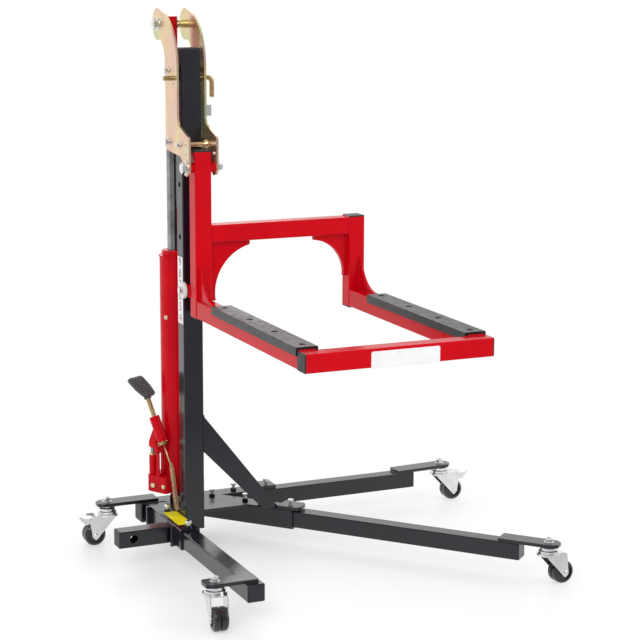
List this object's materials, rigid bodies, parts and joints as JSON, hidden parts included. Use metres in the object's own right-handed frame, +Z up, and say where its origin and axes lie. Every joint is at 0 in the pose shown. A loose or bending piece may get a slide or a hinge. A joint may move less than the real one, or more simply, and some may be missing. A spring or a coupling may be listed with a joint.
{
  "type": "engine stand",
  "caption": "Wheeled hydraulic engine stand: mast on a base with telescoping legs and swivel casters, foot-pumped jack and a lifting frame with padded arms.",
  "frame": {"origin": "on the floor, under the middle of the mast", "axes": "+Z up, +X along the carrier frame's top beam, -Y towards the carrier's front bar"},
  "size_m": [1.3268, 1.128, 1.608],
  "materials": {
    "black_paint": "gloss",
    "red_paint": "gloss",
    "yellow_zinc": "yellow passivated zinc",
    "zinc": "bright zinc",
    "black_plastic": "satin",
    "pad_black": "moulded",
    "nylon": "matt",
    "ground_steel": "polished",
    "pedal_rubber": "ribbed",
    "wheel_black": "satin"
  },
  "bodies": {
    "base": {"mast_tube": "black_paint", "cross_sleeve": "black_paint", "rear_sleeve": "black_paint", "diagonal_sleeve": "black_paint", "hub_plates": "black_paint", "sleeve_doublers": "black_paint", "drawbar_tube": "black_paint", "mast_brace": "black_paint", "tube_caps": "black_plastic", "clamp_bolts": "zinc", "caster_b_mount": "zinc", "jack_cylinder": "red_paint", "pump_block": "red_paint", "link_arms": "red_paint", "jack_fasteners": "yellow_zinc", "return_spring": "yellow_zinc"},
    "leg_a": {"leg_a": "black_paint", "caster_a_mount": "zinc"},
    "leg_c": {"leg_c": "black_paint", "caster_c_mount": "zinc"},
    "leg_d": {"leg_d": "black_paint", "caster_d_mount": "zinc"},
    "carriage": {"plate_left": "yellow_zinc", "plate_right": "yellow_zinc", "carriage_bolts": "zinc", "carriage_spacers": "yellow_zinc", "pivot_bushes": "red_paint", "ram": "ground_steel", "ram_head": "red_paint", "left_post": "red_paint", "right_post": "red_paint", "top_beam": "red_paint", "left_arm": "red_paint", "right_arm": "red_paint", "front_bar": "red_paint", "carrier_brackets": "red_paint", "carrier_caps": "black_plastic", "pad_left": "pad_black", "pad_right": "pad_black", "pad_screws": "zinc"},
    "roller_upper": {"roller_upper": "nylon"},
    "roller_lower": {"roller_lower": "nylon"},
    "guide_rollers": {"guide_rollers": "nylon"},
    "lock_pin": {"lock_pin": "yellow_zinc"},
    "lock_stud": {"lock_stud": "yellow_zinc"},
    "lever": {"pedal_socket": "red_paint", "pedal_shaft": "yellow_zinc", "foot_pad": "pedal_rubber"},
    "plunger": {"plunger": "ground_steel"},
    "release_valve": {"release_valve": "yellow_zinc"},
    "caster_a_fork": {"caster_a_fork": "zinc"},
    "caster_a_wheels": {"caster_a_wheels": "wheel_black"},
    "caster_b_fork": {"caster_b_fork": "zinc"},
    "caster_b_wheels": {"caster_b_wheels": "wheel_black"},
    "caster_b_brake": {"caster_b_brake": "zinc"},
    "caster_c_fork": {"caster_c_fork": "zinc"},
    "caster_c_wheels": {"caster_c_wheels": "wheel_black"},
    "caster_d_fork": {"caster_d_fork": "zinc"},
    "caster_d_wheels": {"caster_d_wheels": "wheel_black"},
    "caster_d_brake": {"caster_d_brake": "zinc"}
  },
  "joints": [
    {"name": "leg_a_slide", "type": "slide", "parent": "base", "child": "leg_a", "axis": [0, -1, 0], "range_m": [-0.08, 0.12]},
    {"name": "leg_c_slide", "type": "slide", "parent": "base", "child": "leg_c", "axis": [0.6508, -0.7593, 0], "range_m": [-0.08, 0.12]},
    {"name": "leg_d_slide", "type": "slide", "parent": "base", "child": "leg_d", "axis": [1, 0, 0], "range_m": [-0.08, 0.12]},
    {"name": "carriage_lift", "type": "slide", "parent": "base", "child": "carriage", "axis": [0, 0, 1], "range_m": [-0.305, 0.03]},
    {"name": "roller_upper_spin", "type": "hinge", "parent": "carriage", "child": "roller_upper", "pos_m": [0, 0.049, 1.434], "axis": [1, 0, 0], "continuous": true},
    {"name": "roller_lower_spin", "type": "hinge", "parent": "carriage", "child": "roller_lower", "pos_m": [0, 0.049, 1.229], "axis": [1, 0, 0], "continuous": true},
    {"name": "guide_rollers_spin", "type": "hinge", "parent": "carriage", "child": "guide_rollers", "pos_m": [0, -0.036, 0.806], "axis": [1, 0, 0], "continuous": true},
    {"name": "lock_pin_push", "type": "slide", "parent": "carriage", "child": "lock_pin", "axis": [1, 0, 0], "range_m": [-0.012, 0.005]},
    {"name": "lock_stud_push", "type": "slide", "parent": "carriage", "child": "lock_stud", "axis": [-1, 0, 0], "range_m": [-0.012, 0.005]},
    {"name": "pedal_press", "type": "hinge", "parent": "base", "child": "lever", "pos_m": [-0.0625, 0.1045, 0.298], "axis": [-0.866, -0.5, 0], "range_deg": [0, 20], "stiffness_Nm_per_rad": 8, "springref_deg": -11.46, "deforming": ["return_spring"]},
    {"name": "plunger_slide", "type": "slide", "parent": "base", "child": "plunger", "axis": [0, 0, 1], "range_m": [-0.0128, 0]},
    {"name": "release_turn", "type": "hinge", "parent": "base", "child": "release_valve", "pos_m": [-0.08259, 0.10329, 0.19], "axis": [0.866, 0.5, 0], "range_deg": [0, 120]},
    {"name": "caster_a_swivel", "type": "hinge", "parent": "leg_a", "child": "caster_a_fork", "pos_m": [-0.163, -0.612, 0.1], "axis": [0, 0, 1], "continuous": true},
    {"name": "caster_a_roll", "type": "hinge", "parent": "caster_a_fork", "child": "caster_a_wheels", "pos_m": [-0.1675, -0.65476, 0.033], "axis": [0.9945, -0.1045, 0], "continuous": true},
    {"name": "caster_b_swivel", "type": "hinge", "parent": "base", "child": "caster_b_fork", "pos_m": [-0.206, 0.19, 0.1], "axis": [0, 0, 1], "continuous": true},
    {"name": "caster_b_roll", "type": "hinge", "parent": "caster_b_fork", "child": "caster_b_wheels", "pos_m": [-0.249, 0.19, 0.033], "axis": [0, -1, 0], "continuous": true},
    {"name": "caster_b_brake_press", "type": "hinge", "parent": "caster_b_fork", "child": "caster_b_brake", "pos_m": [-0.257, 0.19, 0.08], "axis": [0, -1, 0], "range_deg": [0, 8]},
    {"name": "caster_c_swivel", "type": "hinge", "parent": "leg_c", "child": "caster_c_fork", "pos_m": [0.82934, -0.67609, 0.1], "axis": [0, 0, 1], "continuous": true},
    {"name": "caster_c_roll", "type": "hinge", "parent": "caster_c_fork", "child": "caster_c_wheels", "pos_m": [0.87218, -0.67234, 0.033], "axis": [-0.0872, 0.9962, 0], "continuous": true},
    {"name": "caster_d_swivel", "type": "hinge", "parent": "leg_d", "child": "caster_d_fork", "pos_m": [0.934, 0.195, 0.1], "axis": [0, 0, 1], "continuous": true},
    {"name": "caster_d_roll", "type": "hinge", "parent": "caster_d_fork", "child": "caster_d_wheels", "pos_m": [0.977, 0.195, 0.033], "axis": [0, 1, 0], "continuous": true},
    {"name": "caster_d_brake_press", "type": "hinge", "parent": "caster_d_fork", "child": "caster_d_brake", "pos_m": [0.985, 0.195, 0.08], "axis": [0, 1, 0], "range_deg": [0, 8]}
  ],
  "couplings": [
    {"joint": "plunger_slide", "follows": "pedal_press", "m_per_rad": -0.0355}
  ]
}
